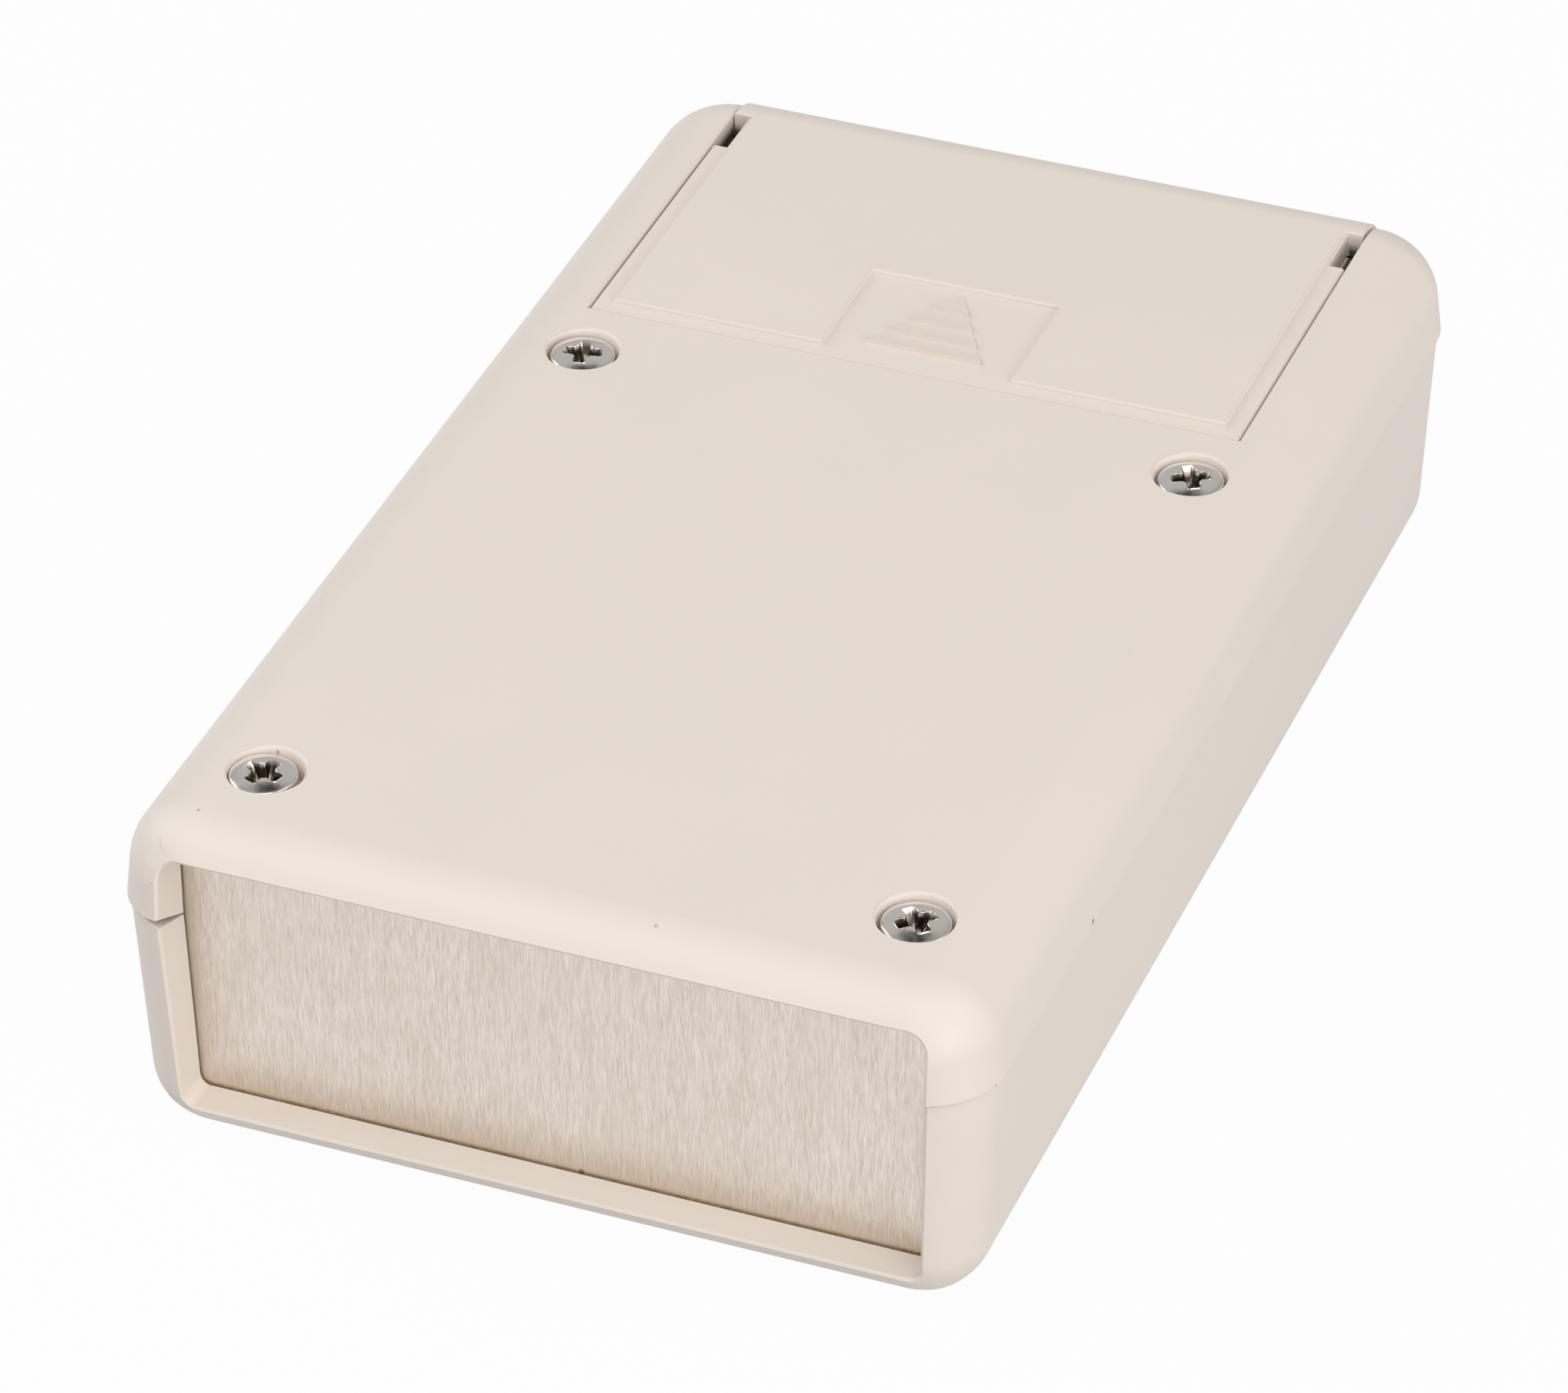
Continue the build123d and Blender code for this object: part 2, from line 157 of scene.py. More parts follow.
def blend_colours(material, amount, first, second):
    node = material.node_tree.nodes.new("ShaderNodeMix")
    node.data_type = "RGBA"
    for value, number in ((amount, MIX_FACTOR), (first, MIX_FIRST), (second, MIX_SECOND)):
        feed(material, value, node.inputs[number])
    return node.outputs[MIX_RESULT]


def arithmetic(material, operation, first, second):
    node = material.node_tree.nodes.new("ShaderNodeMath")
    node.operation = operation
    feed(material, first, node.inputs[0])
    feed(material, second, node.inputs[1])
    return node.outputs[0]


def bump(material, height, distance, after=None):
    """Turns a height pattern into a normal, on top of the normal of an earlier bump."""
    node = add_node(material, "Bump", Strength=1.0, Distance=distance)
    feed(material, height, node.inputs["Height"])
    if after is not None:
        feed(material, after, node.inputs["Normal"])
    return node.outputs["Normal"]

# %% [markdown]
# ## The case's plastic
# The shells and the door are moulded in the same warm off-white ABS. The mould was
# spark-eroded, which leaves a very fine grain that glints where light grazes it. The
# grain is made of two layers of noise in the bump: pits about a quarter of a
# millimetre wide, and finer ones between them. The colour is almost even, with a faint
# drift over centimetres as real plastic has.

# %% Plastic's colour and grain
plastic_colour = (0.80, 0.73, 0.668)
plastic_dark = (0.79, 0.722, 0.66)
pits_per_metre = 4200.0
pit_depth = 0.012 * MM
fine_pit_depth = 0.004 * MM
plastic, plastic_shader = new_finish("off_white_plastic", plastic_colour, 0.48)
plastic_place = pattern_place(plastic)
drift = noise(plastic, plastic_place, scale=70.0, detail=3.0)
drift = remap(plastic, drift, (0.35, 0.65), (0.0, 1.0))
plastic_tint = blend_colours(plastic, drift, plastic_dark, plastic_colour)
pits = noise(plastic, plastic_place, scale=pits_per_metre)
fine_pits = noise(plastic, plastic_place, scale=9000.0, detail=1.0)
grain = bump(plastic, fine_pits, fine_pit_depth)
grain = bump(plastic, pits, pit_depth, after=grain)
feed(plastic, grain, plastic_shader.inputs["Normal"])
sheen = remap(plastic, pits, (0.3, 0.7), (0.43, 0.53))
feed(plastic, sheen, plastic_shader.inputs["Roughness"])
print("plastic grain: pits of about", round(1 / pits_per_metre / MM, 2), "mm")

# %% [markdown]
# ## Dirt and painted shade on the plastic
# A used case has a few specks of dirt. They could be painted on an image, but a speck is
# only a small ball cut by the surface, so each one is a distance to a point in the frame.
# The points are where the picture shows the specks. The two slots at the door's far corners are
# coloured near black inside: painted shade, where the slots open to the unlit inside of the
# case. That painted shade has the shape of a box in the frame, mirrored to both sides by the
# absolute value of X.

# %% Specks
speck_core = 0.55
grey_dirt = (0.16, 0.14, 0.12)
red_dirt = (0.33, 0.09, 0.05)
plastic_specks = (
    ((40.2, -38.6, 24.5), 0.32, grey_dirt, 0.8),
    ((39.9, -58.0, 23.7), 0.30, grey_dirt, 0.9),
    ((39.8, -61.8, 23.7), 0.26, grey_dirt, 0.8),
    ((-33.0, -62.0, 33.45), 0.22, grey_dirt, 0.45),
    ((-35.6, -66.9, 28.3), 0.17, grey_dirt, 0.5),
    ((36.0, -66.8, 23.9), 0.24, grey_dirt, 0.6),
    ((36.5, -66.6, 23.9), 0.20, grey_dirt, 0.5),
    ((9.8, -63.15, 33.25), 0.22, grey_dirt, 0.45),
    ((-30.4, -51.2, 33.0), 0.20, red_dirt, 0.75),
)


def near_point(material, point, radius):
    """One in the middle of a ball, fading to zero at its skin; both are in millimetres."""
    node = material.node_tree.nodes.new("ShaderNodeVectorMath")
    node.operation = "DISTANCE"
    feed(material, object_place(material), node.inputs[0])
    node.inputs[1].default_value = [x * MM for x in point]
    fade = (speck_core * radius * MM, radius * MM)
    return remap(material, node.outputs["Value"], fade, (1.0, 0.0))


def specks(material, base, marks):
    """Lays small round marks, each (point, radius, colour, strength), on a colour."""
    for point, radius, colour, strength in marks:
        amount = arithmetic(material, "MULTIPLY", near_point(material, point, radius), strength)
        base = blend_colours(material, amount, base, colour)
    print("specks on", material.name + ":", len(marks))
    return base


plastic_tint = specks(plastic, plastic_tint, plastic_specks)

# %% Painted shade in the slots at the door's far corners
# Painted shade: a near black colour where the slots' shadowed insides are.
painted_slot_shadow = (0.04, 0.04, 0.033)
plastic_axes = object_axes(plastic)
sideways = arithmetic(plastic, "ABSOLUTE", plastic_axes["X"], 0.0)
slot_limits = (
    (sideways, 30.72, 31.0, 0.0, 0.95),
    (sideways, 33.3, 33.5, 1.0, 0.0),
    (plastic_axes["Y"], 55.0, 56.6, 0.0, 1.0),
    (plastic_axes["Y"], 61.25, 61.45, 1.0, 0.0),
    (plastic_axes["Z"], 31.7, 32.6, 1.0, 0.0),
)
slot_shade = 1.0
for place, low, high, at_low, at_high in slot_limits:
    limit = remap(plastic, place, (low * MM, high * MM), (at_low, at_high))
    slot_shade = arithmetic(plastic, "MULTIPLY", slot_shade, limit)
plastic_tint = blend_colours(plastic, slot_shade, plastic_tint, painted_slot_shadow)
feed(plastic, plastic_tint, plastic_shader.inputs["Base Color"])
print("plastic nodes:", len(plastic.node_tree.nodes))

# %% [markdown]
# ## The end plate's metal
# The plate is thin aluminium, brushed upright. Brushing leaves scratches that are a few
# hundredths of a millimetre wide and millimetres long, so the noise is squeezed sideways and
# drawn out along Z. The same scratches change the colour and the bump, and softer ones the
# roughness. Soft clouds and darker flecks break up the even stripes. The plate gets a darker
# painted shade along its left edge and a warmer painted reflection at its foot. Both stand for
# the frame around the plate, which the plate mirrors in the picture.

# %% Brushed metal's scratches
panel_light = (0.86, 0.785, 0.73)
panel_dark = (0.68, 0.60, 0.53)
cloud_colour = (0.74, 0.65, 0.57)
fleck_colour = (0.52, 0.43, 0.36)
scratch_depth = 0.006 * MM
brushed, brushed_shader = new_finish("brushed_aluminium", panel_light, 0.5, 1.0)
along_brush = pattern_place(brushed, (1.0, 1.0, 0.06))
scratches = noise(brushed, along_brush, scale=9500.0, detail=3.0, roughness=0.6)
soft_scratches = noise(brushed, along_brush, scale=1800.0)
clouds = noise(brushed, pattern_place(brushed, (1.0, 1.0, 0.4)), scale=160.0)
flecks = noise(brushed, pattern_place(brushed, (1.0, 1.0, 0.1)), scale=6200.0, detail=1.0)
rough = remap(brushed, soft_scratches, (0.3, 0.7), (0.38, 0.55))
feed(brushed, rough, brushed_shader.inputs["Roughness"])
scratch_bump = bump(brushed, scratches, scratch_depth)
feed(brushed, scratch_bump, brushed_shader.inputs["Normal"])

# %% Brushed metal's colour
# Painted shade and reflection: darker along the left edge, warmer at the foot, for the frame
# that the plate mirrors.
painted_left_shade = (0.60, 0.55, 0.44)
painted_foot_reflection = (0.84, 0.74, 0.57)
panel_speck = ((2.0, -62.35, 3.9), 0.35, (0.2, 0.17, 0.14), 0.7)
panel_axes = object_axes(brushed)
streak = remap(brushed, scratches, (0.36, 0.64), (0.0, 1.0))
cloud_amount = remap(brushed, clouds, (0.35, 0.65), (0.0, 0.3))
fleck_amount = remap(brushed, flecks, (0.62, 0.78), (0.0, 0.42))
painted_left_shade_amount = remap(brushed, panel_axes["X"], (-34.7 * MM, -33.4 * MM), (0.9, 0.0))
painted_foot_reflection_amount = remap(brushed, panel_axes["Z"], (4.0 * MM, 5.0 * MM), (0.6, 0.0))
panel_tint = blend_colours(brushed, streak, panel_dark, panel_light)
for amount, colour in (
    (cloud_amount, cloud_colour),
    (fleck_amount, fleck_colour),
    (painted_left_shade_amount, painted_left_shade),
    (painted_foot_reflection_amount, painted_foot_reflection),
):
    panel_tint = blend_colours(brushed, amount, panel_tint, colour)
panel_tint = specks(brushed, panel_tint, (panel_speck,))
feed(brushed, panel_tint, brushed_shader.inputs["Base Color"])
print("brushed metal nodes:", len(brushed.node_tree.nodes))

# %% [markdown]
# ## Nickel and spring steel
# The screws are steel with a bright nickel plating that is slightly warm. The inside of their
# recesses is dark brown in the picture, so painted shade takes the colour towards dark brown
# with the depth stored with each point. The battery contacts are plain nickelled spring steel,
# a little duller. What makes both look real is a faint unevenness in the gloss.

# %% Nickel finishes
nickel_colour = (0.95, 0.91, 0.865)
painted_recess_shade = (0.13, 0.095, 0.07)
steel_colour = (0.66, 0.64, 0.60)
ripple_depth = 0.01 * MM


def nickel_finish(name, colour, gloss_range, recess=None):
    material, shader = new_finish(name, colour, sum(gloss_range) / 2, 1.0)
    if recess is not None:
        # Painted shade: the recess's colour darkens to dark brown with the depth below the
        # dome.
        depth = material.node_tree.nodes.new("ShaderNodeAttribute")
        depth.attribute_name = "depth"
        amount = remap(material, depth.outputs["Fac"], (0.1, 0.6), (0.0, 0.92))
        tint = blend_colours(material, amount, colour, recess)
        feed(material, tint, shader.inputs["Base Color"])
    wear = noise(material, pattern_place(material), scale=1500.0, detail=3.0, roughness=0.6)
    gloss = remap(material, wear, (0.3, 0.7), gloss_range)
    feed(material, gloss, shader.inputs["Roughness"])
    feed(material, bump(material, wear, ripple_depth), shader.inputs["Normal"])
    return material


nickel = nickel_finish("bright_nickel", nickel_colour, (0.14, 0.24), painted_recess_shade)
spring_steel = nickel_finish("spring_steel", steel_colour, (0.22, 0.34))

# %% [markdown]
# ## Soft edges on the moulded pieces
# No moulded edge is truly sharp. The CAD model has a small flat bevel on each edge that
# shows, and here each bevel is shaded as a round. The node's loose triangles are merged
# into a closed mesh, flat areas are joined into large faces, and the Weighted Normal
# modifier then lets the large faces keep their flat shading, so that the whole turn
# happens across the narrow bevel.

# %% Merged copies of the CAD pieces
merge_distance = 0.0005 * MM
flat_angle = radians(0.4)


def shade_smooth(shape, crease):
    """Smooth faces, with sharp edges only where the surface turns by more than crease."""
    for face in shape.faces:
        face.smooth = True
    for edge in shape.edges:
        edge.smooth = edge.calc_face_angle(pi) < crease


def piece_from(name, shape, body, slot, material, *nodes):
    mesh = bpy.data.meshes.new(name)
    shape.to_mesh(mesh)
    shape.free()
    mesh.materials.clear()
    mesh.materials.append(material)
    piece = bpy.data.objects.new(name, mesh)
    scene.collection.objects.link(piece)
    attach(piece, body)
    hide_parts(*nodes)
    print(name, len(mesh.polygons), "faces")
    return piece


def smooth_copy(name, node, body, slot, material, crease):
    shape = bmesh.new()
    shape.from_mesh(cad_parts[node].data)
    bmesh.ops.remove_doubles(shape, verts=shape.verts, dist=merge_distance)
    bmesh.ops.dissolve_limit(
        shape, angle_limit=flat_angle, verts=shape.verts, edges=shape.edges
    )
    for face in shape.faces:
        face.material_index = 0
    shade_smooth(shape, crease)
    return piece_from(name, shape, body, slot, material, node)


def weigh_normals(piece):
    modifier = piece.modifiers.new("soft edges", "WEIGHTED_NORMAL")
    modifier.mode = "FACE_AREA_WITH_ANGLE"
    modifier.keep_sharp = True

# %% The two shells and the door
mould_crease = radians(50)
rear = smooth_copy(
    "rear_moulding", "rear_shell", "case", "case_plastic", plastic, mould_crease
)
front = smooth_copy(
    "front_moulding", "front_shell", "case", "case_plastic", plastic, mould_crease
)
door = smooth_copy(
    "door_moulding", "battery_door", "battery_door", "case_plastic", plastic, mould_crease
)
for piece in (rear, front, door):
    weigh_normals(piece)

# %% [markdown]
# ## Where the mouldings are not quite true
# Injection moulded shells shrink as they cool, and long thin corners bend most. In the
# picture the two shells gape a little at the near left corner, the seam drops towards
# the inside of the frame there, and that side of the frame stands further in than the
# other. The mouths of the screw holes are a little wider than the CAD ones, most of all
# at the far side. All of these are small moves of a few points of the copies, which leave
# the CAD alone. Such moves are simple to read and keep every face joined.

# %% Helpers for small moves
def move_points(piece, low, high, change):
    """Moves each point of a piece that lies in the box from low to high, in millimetres."""
    reached = 0
    for vertex in piece.data.vertices:
        point = vertex.co / MM
        if all(a <= x <= b for a, x, b in zip(low, point, high)):
            vertex.co = change(point) * MM
            reached += 1
    print(piece.name, reached, "points in the box")


def share_of(value, low, high):
    """Zero at low, one at high, and no more than that beyond them."""
    return min(max((value - low) / (high - low), 0.0), 1.0)

# %% The near left corner
gape_start = -39.3
gape_run = 4.0
rear_gape = 0.53
front_gape = 0.5
rear_drop = 1.7
front_drop = 1.9
frame_shift = 0.35
frame_taper = 0.18
frame_front_y = -67.0
frame_back_y = -62.6
frame_inner_x = 31.5
frame_outer_x = 35.0
rear_rim = (-39.4, -67.3, 24.05), (-35.2, -64.0, 24.15)
rear_rim_back = (-35.4, -62.7, 24.05), (-35.2, -62.5, 24.15)
front_rim = (-39.6, -67.3, 23.7), (-35.2, -63.0, 24.15)
front_rim_back = (-35.4, -62.7, 24.0), (-35.2, -62.5, 24.15)
frame_side = (-35.7, -67.4, 3.0), (-31.5, -62.5, 31.5)


def gape(rise):
    """Moves points up by rise, or down where it is negative, fading in from the corner."""
    def change(point):
        share = share_of(point.x, gape_start, gape_start + gape_run)
        return point + Vector((0, 0, rise * share))

    return change


def lower(drop):
    return lambda point: point - Vector((0, 0, drop))


def narrow_frame(point):
    """Moves the frame's left side in, more so at the plate than at the front."""
    across = frame_shift + frame_taper * share_of(point.y, frame_front_y, frame_back_y)
    return point + Vector((across * share_of(-point.x, frame_inner_x, frame_outer_x), 0, 0))


move_points(rear, *rear_rim, gape(rear_gape))
move_points(rear, *rear_rim_back, lower(rear_drop))
move_points(front, *front_rim, gape(-front_gape))
move_points(front, *front_rim_back, lower(front_drop))
for piece in (rear, front):
    move_points(piece, *frame_side, narrow_frame)

# %% The mouths of the screw holes
hole_places = ((-30.0, -54.65), (30.0, -54.65), (-30.0, 16.95), (30.0, 16.95))
mouth_near = 3.3
mouth_far = 3.7
mouth_half_box = 4
mouth_box_low = 33.2
mouth_box_high = 33.6
mouth_top = 33.4
mouth_grow = 0.16
mouth_shift = 0.25
mouth_drop = 0.2
crown_start = 31.4
crown_hold = 32.9


def open_mouth(x, y):
    """Widens a hole's upper ring and sinks the lower one, fading where the side bends down."""
    def change(point):
        out = Vector((point.x - x, point.y - y, 0))
        hold = share_of(-abs(point.x), -crown_hold, -crown_start)
        if not mouth_near < out.length < mouth_far or hold == 0:
            return point
        if point.z > mouth_top:
            return point + hold * (mouth_grow * out.normalized() + Vector((0, mouth_shift, 0)))
        return point + hold * Vector((0, 0, -mouth_drop))

    return change


for x, y in hole_places:
    box_low = (x - mouth_half_box, y - mouth_half_box, mouth_box_low)
    box_high = (x + mouth_half_box, y + mouth_half_box, mouth_box_high)
    move_points(rear, box_low, box_high, open_mouth(x, y))

# %% [markdown]
# ## The end plate
# The plate is a loose piece of sheet that sits in slots of both shells and is held when
# they are closed, so holes for plugs can be cut in it without touching the mouldings. It
# is flat, so the CAD copy with soft edges is all that it needs, and the brushing does the
# rest.

# %% The end plate
end_plate = smooth_copy(
    "brushed_plate", "end_panel", "case", "panel_metal", brushed, mould_crease
)
weigh_normals(end_plate)

# %% [markdown]
# ## The screws
# The four screws are pan head self-tapping screws of three millimetres. A real one is
# cold headed from wire: a punch forms the low dome and the cross recess in one blow, so
# that the recess has a soft rim and tapered walls, and the thread is then rolled on. Here
# the head is skinned through rings of points. Each ring starts as a cross inside the
# recess and turns into a circle further out, so the recess needs no boolean cut.

# %% Building blocks for small metal pieces
def skin(shape, rings, matrix):
    """Joins rings of equal length by faces; a ring of one point closes the end."""
    layers = [[shape.verts.new(matrix @ Vector(point)) for point in ring] for ring in rings]
    for near, far in zip(layers, layers[1:]):
        count = max(len(near), len(far))
        for k in range(count):
            n = (k + 1) % count
            if len(near) == 1:
                corners = near[0], far[n], far[k]
            elif len(far) == 1:
                corners = near[k], near[n], far[0]
            else:
                corners = near[k], near[n], far[n], far[k]
            shape.faces.new(corners)


def circle_ring(radius, z, angles):
    return [(radius * cos(a), radius * sin(a), z) for a in angles]


def finish_metal(name, shape, body, slot, material, node, crease):
    bmesh.ops.recalc_face_normals(shape, faces=shape.faces)
    shade_smooth(shape, crease)
    return piece_from(name, shape, body, slot, material, node)

# %% The cross recess
recess_half = 1.9 * MM
slot_half = 0.62 * MM
slot_closing = 0.4
corner_flat = 0.3 * MM
tip_round = 0.15 * MM


def cross_outline(shrink):
    """The recess's outline, counterclockwise, with its arms shortened by shrink."""
    tip = recess_half - shrink
    side = slot_half - slot_closing * shrink
    corner = side + corner_flat
    quarter = [
        (tip, -side / 2), (tip, side / 2), (tip, side - tip_round), (tip - tip_round, side),
        ((2 * tip + corner) / 3, side), ((tip + 2 * corner) / 3, side),
        (corner, side), (side + corner_flat / 2, side + corner_flat / 2), (side, corner),
        (side, (tip + 2 * corner) / 3), (side, (2 * tip + corner) / 3),
        (side, tip - tip_round), (side - tip_round, tip),
    ]
    outline = []
    for c, n in ((1, 0), (0, 1), (-1, 0), (0, -1)):
        outline += [(x * c - y * n, x * n + y * c) for x, y in quarter]
    return outline


print("cross recess:", len(cross_outline(0.0)), "points round")

# %% The screw's head
head_radius = 3.05 * MM
head_height = 2.45 * MM
dome_radius = 11.0 * MM
core_radius = 1.2 * MM
shank_length = 14.0 * MM
recess_depth = 2.0 * MM
recess_sag = 0.3
head_bevel = 0.08 * MM
tip_length = 0.8 * MM
tip_radius = 0.6 * MM
# Each pair is in millimetres, but for the share of the way from the recess to the crown.
recess_rings = ((1.0, 1.75), (0.62, 1.3), (0.22, 0.6), (0.03, 0.08))  # shrink, depth
rim_rings = ((0.0, 0.02), (0.04, 0.0))  # spread, depth
crown_rings = ((0.5, 2.2), (1.0, 2.2), (1.0, 2.4), (1.0, 2.55))  # share, radius
shoulder_rings = ((2.75, 2.1), (2.94, 2.05), (2.99, 2.02), (3.03, 1.95), (3.05, 1.84))
print("screw head:", round(2 * head_radius / MM, 2), "by", round(head_height / MM, 2), "mm")

# %% The head's rings of points
def dome(x, y):
    """The height of the domed crown over its seat."""
    r2 = x * x + y * y
    return head_height - dome_radius + (dome_radius * dome_radius - r2) ** 0.5


def recess_ring(shrink, depth):
    level = head_height - depth * MM
    return [
        (x, y, level - recess_sag * (head_height - dome(x, y)))
        for x, y in cross_outline(shrink * MM)
    ]


def domed_ring(reach, angles, sink=0.0):
    """A ring of points on the dome, each at its own reach, or a little below it."""
    ring = []
    for a, r in zip(angles, reach):
        x, y = r * cos(a), r * sin(a)
        ring.append((x, y, dome(x, y) - sink * MM))
    return ring


def screw_head(shape, matrix):
    mouth = cross_outline(0.0)
    angles = [Vector(point).angle_signed(Vector((1, 0))) for point in mouth]
    reach = [Vector(point).length for point in mouth]
    rings = [[(0, 0, head_height - recess_depth)]]
    rings += [recess_ring(shrink, depth) for shrink, depth in recess_rings]
    for spread, sink in rim_rings:
        rings.append(domed_ring([r + spread * MM for r in reach], angles, sink))
    for share, radius in crown_rings:
        rings.append(domed_ring([r + share * (radius * MM - r) for r in reach], angles))
    for radius, level in shoulder_rings:
        rings.append(circle_ring(radius * MM, level * MM, angles))
    for radius, level in (
        (head_radius, head_bevel), (head_radius - head_bevel, 0.0), (core_radius, 0.0),
        (core_radius, tip_length - shank_length), (tip_radius, -shank_length),
    ):
        rings.append(circle_ring(radius, level, angles))
    rings.append([(0, 0, -shank_length)])
    skin(shape, rings, matrix)

# %% The screw's thread
thread_height = 0.25 * MM
thread_pitch = 1.12 * MM
thread_start = 1.0 * MM
thread_length = shank_length - 2.0 * MM
thread_half = 0.22 * MM
thread_sunk = 0.02 * MM
steps_in_turn = 14
fade_steps = 10


def screw_thread(shape, matrix):
    """A ridge of three points wound round the core, fading in and out at its ends."""
    turns = thread_length / thread_pitch
    steps = int(turns * steps_in_turn)
    up = Vector((0, 0, thread_half))
    rings = []
    for k in range(steps + 1):
        a = 2 * pi * turns * k / steps
        level = Vector((0, 0, -thread_start - thread_pitch * turns * k / steps))
        fade = min(1.0, k / fade_steps, (steps - k) / fade_steps)
        out = Vector((cos(a), sin(a), 0))
        foot = out * (core_radius - thread_sunk) + level
        crest = out * (core_radius + thread_height * fade) + level
        rings.append([foot - up, crest, foot + up])
    skin(shape, rings, matrix)

# %% The four screws
seat_z = 30.93 * MM
recess_low = 0.3 * MM
recess_reach = 2.1 * MM
metal_crease = radians(40)
screw_places = {
    "near_left": (-30.3, -54.57, 72.0),
    "near_right": (30.0, -54.65, 44.0),
    "far_left": (-30.0, 16.95, 11.0),
    "far_right": (30.0, 16.95, 29.0),
}


def store_depth(piece, x, y):
    """Stores how far each point of the recess lies below the dome, in millimetres."""
    depths = piece.data.attributes.new("depth", "FLOAT", "POINT")
    for vertex, entry in zip(piece.data.vertices, depths.data):
        away = vertex.co - Vector((x * MM, y * MM, seat_z))
        inside = away.z > recess_low and Vector((away.x, away.y)).length < recess_reach
        entry.value = max(dome(away.x, away.y) - away.z, 0.0) / MM if inside else 0.0


for side, (x, y, turn) in screw_places.items():
    shape = bmesh.new()
    seat = Matrix.Translation((x * MM, y * MM, seat_z))
    place = seat @ Matrix.Rotation(radians(turn), 4, "Z")
    screw_head(shape, place)
    screw_thread(shape, place)
    screw = finish_metal(
        "pan_screw_" + side, shape, "case", "screw_metal", nickel, "screw_" + side, metal_crease
    )
    store_depth(screw, x, y)

# %% [markdown]
# ## The battery contacts
# Each contact is a strip of nickelled spring steel that is stamped, with a button pressed
# into it or a conical spring coiled from wire and pinched on. A spring pushes the flat
# end of a cell, a button meets its tip. Two contacts have a tail that goes down through
# the compartment's floor to be soldered, and the third joins the two cells. They only
# show with the door off, so they are plain shapes: boxes with soft edges, a lathed
# button, and a wire swept along a spiral that closes in towards its end.

# %% The contacts' strips and buttons
plate_x = 28.1 * MM
plate_thickness = 0.4 * MM
plate_middle = 22.05 * MM
plate_bevel = 0.08 * MM
button_radius = 2.1 * MM
button_height = 1.0 * MM
button_sides = 32
button_profile = ((1.0, -0.05), (0.97, 0.12), (0.88, 0.6), (0.8, 0.88), (0.68, 0.98))


def plate(shape, y0, y1, z0, z1):
    """A flat strip on the +X side with its edges eased."""
    centre = Vector((plate_x + plate_thickness / 2, (y0 + y1) / 2, (z0 + z1) / 2))
    size = Matrix.Diagonal((plate_thickness, y1 - y0, z1 - z0, 1.0))
    made = bmesh.ops.create_cube(shape, size=1.0, matrix=Matrix.Translation(centre) @ size)
    edges = [edge for edge in shape.edges if edge.verts[0] in made["verts"]]
    bmesh.ops.bevel(shape, geom=edges, offset=plate_bevel, offset_type="OFFSET",
                    segments=2, profile=0.5, affect="EDGES", material=-1)


def inward(y):
    """Puts a piece drawn along +Z on the plate, pointing into the compartment."""
    foot = Matrix.Translation((plate_x, y * MM, plate_middle))
    return foot @ Matrix.Rotation(radians(-90), 4, "Y")


def button(shape, y):
    angles = [2 * pi * k / button_sides for k in range(button_sides)]
    rings = [circle_ring(button_radius * r, z * MM, angles) for r, z in button_profile]
    skin(shape, [*rings, [(0, 0, button_height)]], inward(y))

# %% The contacts' springs
wire_radius = 0.4 * MM
wire_sides = 10
spring_foot = 4.2 * MM
spring_rise = 7.2 * MM
spring_turns = 3.4
steps_in_coil = 28
climb_start = 0.22
climb_end = 0.82
cone_narrowing = 1.75 * MM
tip_narrowing = 0.5 * MM


def tube(shape, points, radius, sides, matrix):
    """A round wire along a path, closed at both ends."""
    rings = []
    for k, point in enumerate(points):
        along = (points[min(k + 1, len(points) - 1)] - points[max(k - 1, 0)]).normalized()
        across = along.cross(Vector((0, 0, 1))).normalized()
        up = across.cross(along)
        turns = [2 * pi * n / sides for n in range(sides)]
        rings.append([point + radius * (cos(a) * across + sin(a) * up) for a in turns])
    skin(shape, [[points[0]], *rings, [points[-1]]], matrix)


def spring(shape, y):
    """A cone of wire: its first turn lies on the plate, its last is flat and closed in."""
    steps = int(spring_turns * steps_in_coil)
    points = []
    for k in range(steps + 1):
        share = k / steps
        climb = share_of(share, climb_start, climb_end)
        closing = share_of(share, climb_end, 1.0)
        radius = spring_foot - wire_radius - cone_narrowing * climb - tip_narrowing * closing
        z = wire_radius + (spring_rise - 2.2 * wire_radius) * climb
        a = 2 * pi * spring_turns * share
        points.append(Vector((radius * cos(a), radius * sin(a), z)))
    tube(shape, points, wire_radius, wire_sides, inward(y))

# %% The three contacts
near_row = 32.45
far_row = 47.45
plate_foot = 14.9 * MM
plate_top = 26.8 * MM
tail_half = 1.5
tail_foot = 10.3 * MM
tail_top = plate_foot + 0.2 * MM


def sort_faces(shape):
    """Puts the faces in the order of their points, as a bevel leaves them in any order."""
    shape.verts.index_update()
    count = len(shape.verts)

    def rank(face):
        first, second, third = sorted(vert.index for vert in face.verts)[:3]
        return (first * count + second) * count + third

    shape.faces.sort(key=rank)


def contact(name, node, y0, y1, buttons=(), springs=(), tails=(), other_side=False):
    shape = bmesh.new()
    plate(shape, y0 * MM, y1 * MM, plate_foot, plate_top)
    for y in tails:
        plate(shape, (y - tail_half) * MM, (y + tail_half) * MM, tail_foot, tail_top)
    for y in buttons:
        button(shape, y)
    for y in springs:
        spring(shape, y)
    if other_side:
        bmesh.ops.transform(shape, matrix=Matrix.Diagonal((-1, 1, 1, 1)), verts=shape.verts)
    sort_faces(shape)
    finish_metal(name, shape, "case", "contact_metal", spring_steel, node, metal_crease)


contact("plus_contact", "contact_plus", 26.4, 38.5, buttons=[near_row], tails=[near_row])
contact("minus_contact", "contact_minus", 41.4, 53.5, springs=[far_row], tails=[far_row])
contact("bridge_contact", "contact_bridge", 26.4, 53.5, [far_row], [near_row], other_side=True)

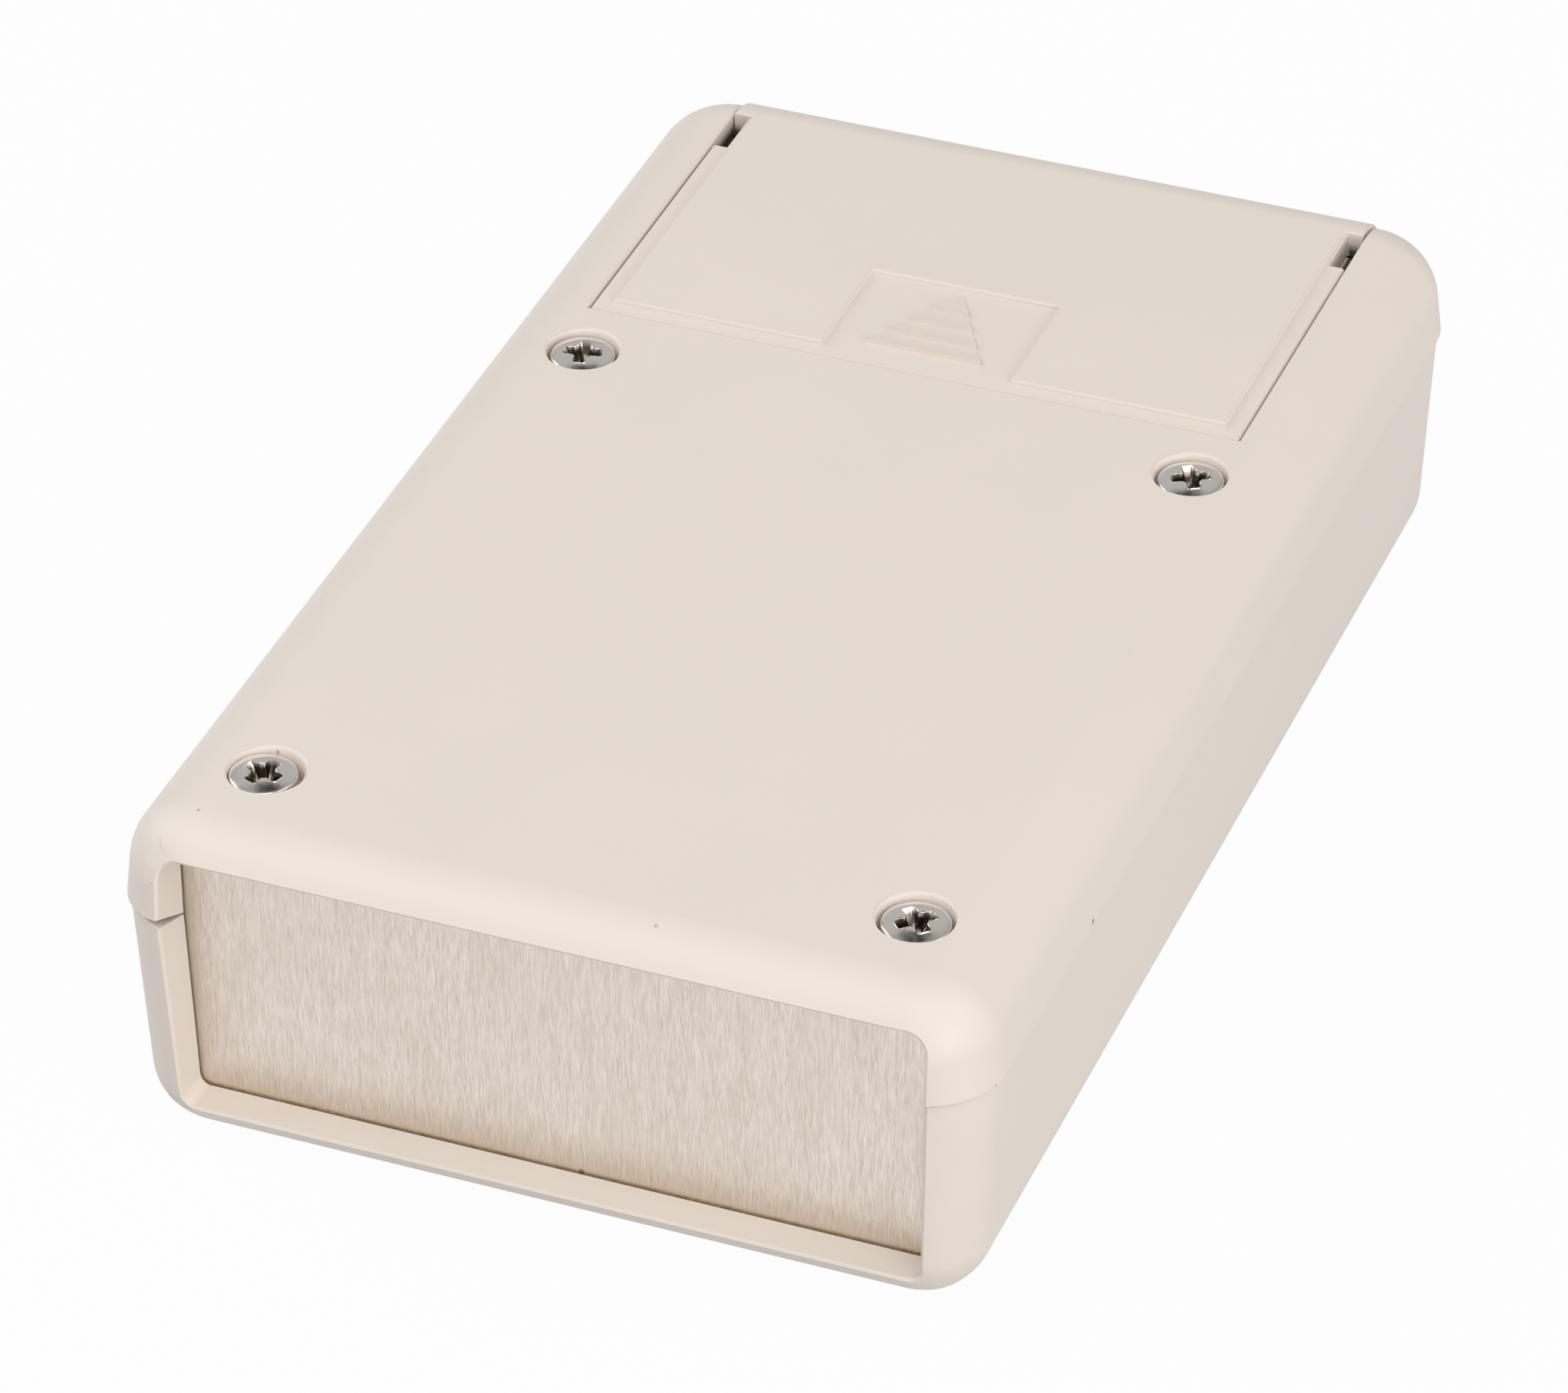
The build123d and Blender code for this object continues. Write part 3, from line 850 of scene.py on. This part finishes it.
# %% [markdown]
# ## The studio
# The case stands in soft, even light: a large lamp high over the near side, one low at
# the near right that reaches into the frame of the end plate, weaker ones at the left
# and the right, a dim one behind for the screws to mirror, and a dim room around them.
# Their powers were first worked out from pictures with one lamp each, so that every side
# gets about as bright as it is in the picture. The floor is pale paper. Camera and mirror
# rays see it brightened by Light Path, so that the background is white without more light
# on the object, and a soft shadow stays.

# %% Floor
floor_half = 3.0
floor_drop = 0.05 * MM
paper_colour = (0.55, 0.55, 0.55)
paper_glow = 0.97


def sheet(name, half):
    """A flat square for the studio; half is half its width."""
    shape = bmesh.new()
    bmesh.ops.create_grid(shape, x_segments=1, y_segments=1, size=half)
    mesh = bpy.data.meshes.new(name)
    shape.to_mesh(mesh)
    shape.free()
    made = bpy.data.objects.new(name, mesh)
    scene.collection.objects.link(made)
    print(name, 2 * half, "m wide")
    return made


floor = sheet("floor", floor_half)
floor.location.z = -floor_drop
paper, paper_shader = new_finish("white_paper", paper_colour, 0.9)
rays = add_node(paper, "LightPath").outputs
seen = arithmetic(paper, "MAXIMUM", rays["Is Camera Ray"], rays["Is Glossy Ray"])
glow = add_node(paper, "Emission", Color=(1.0, 1.0, 1.0, 1.0), Strength=1.0)
mix = add_node(paper, "MixShader")
feed(paper, arithmetic(paper, "MULTIPLY", seen, paper_glow), mix.inputs[0])
feed(paper, paper_shader.outputs["BSDF"], mix.inputs[1])
feed(paper, glow.outputs["Emission"], mix.inputs[2])
feed(paper, mix.outputs["Shader"], paper.node_tree.nodes["Material Output"].inputs["Surface"])
floor.data.materials.append(paper)

# %% Lamps and room
warm_light = (1.0, 0.985, 0.96)
mild_light = (1.0, 0.99, 0.975)
cool_light = (0.97, 0.985, 1.0)
room_light = (1.0, 0.99, 0.98)
room_strength = 0.33


def lamp(name, place, size, power, colour):
    """A square lamp, size in metres and power in watts, that faces the case."""
    data = bpy.data.lights.new(name, "AREA")
    data.shape = "SQUARE"
    data.size = size
    data.energy = power
    data.color = colour
    light = bpy.data.objects.new(name, data)
    scene.collection.objects.link(light)
    light.location = place
    light.rotation_mode = "QUATERNION"
    light.rotation_quaternion = (-Vector(place)).to_track_quat("-Z", "Y")
    print(name, power, "W")


lamp("high_lamp", (0.05, -0.75, 1.3), 1.3, 10.4, warm_light)
lamp("low_lamp", (1.12, -0.85, 0.24), 0.8, 8.4, warm_light)
lamp("right_lamp", (1.15, 0.15, 0.85), 1.0, 3.9, mild_light)
lamp("left_lamp", (-1.28, 0.15, 0.75), 1.0, 8.3, cool_light)
lamp("far_lamp", (-0.46, 1.2, 0.94), 1.2, 0.6, warm_light)
room = bpy.data.worlds.new("room")
room.use_nodes = True
background = room.node_tree.nodes["Background"]
background.inputs["Color"].default_value = (*room_light, 1.0)
background.inputs["Strength"].default_value = room_strength
scene.world = room

# %% [markdown]
# ## A dark card
# Small bright screws need something dark to reflect, or their domes look flat. In the
# picture a dark shape above the far end shows in the near edge of every screw. A black
# card on a stand does this job in a studio, and it does so here.

# %% Dark card
card_half = 0.26
card_place = (-0.25, 0.63, 1.45)
card = sheet("dark_card", card_half)
card.location = card_place
card.rotation_mode = "QUATERNION"
card.rotation_quaternion = (-card.location).to_track_quat("-Z", "Y")
black_felt = new_finish("black_felt", (0.02, 0.02, 0.02), 1.0)[0]
card.data.materials.append(black_felt)

# %% [markdown]
# ## Colours
# The Standard view shows the colours as they were worked out: a filmic view would make the
# white floor grey.

# %% Colour management
scene.view_settings.view_transform = "Standard"
print("view:", scene.view_settings.view_transform)
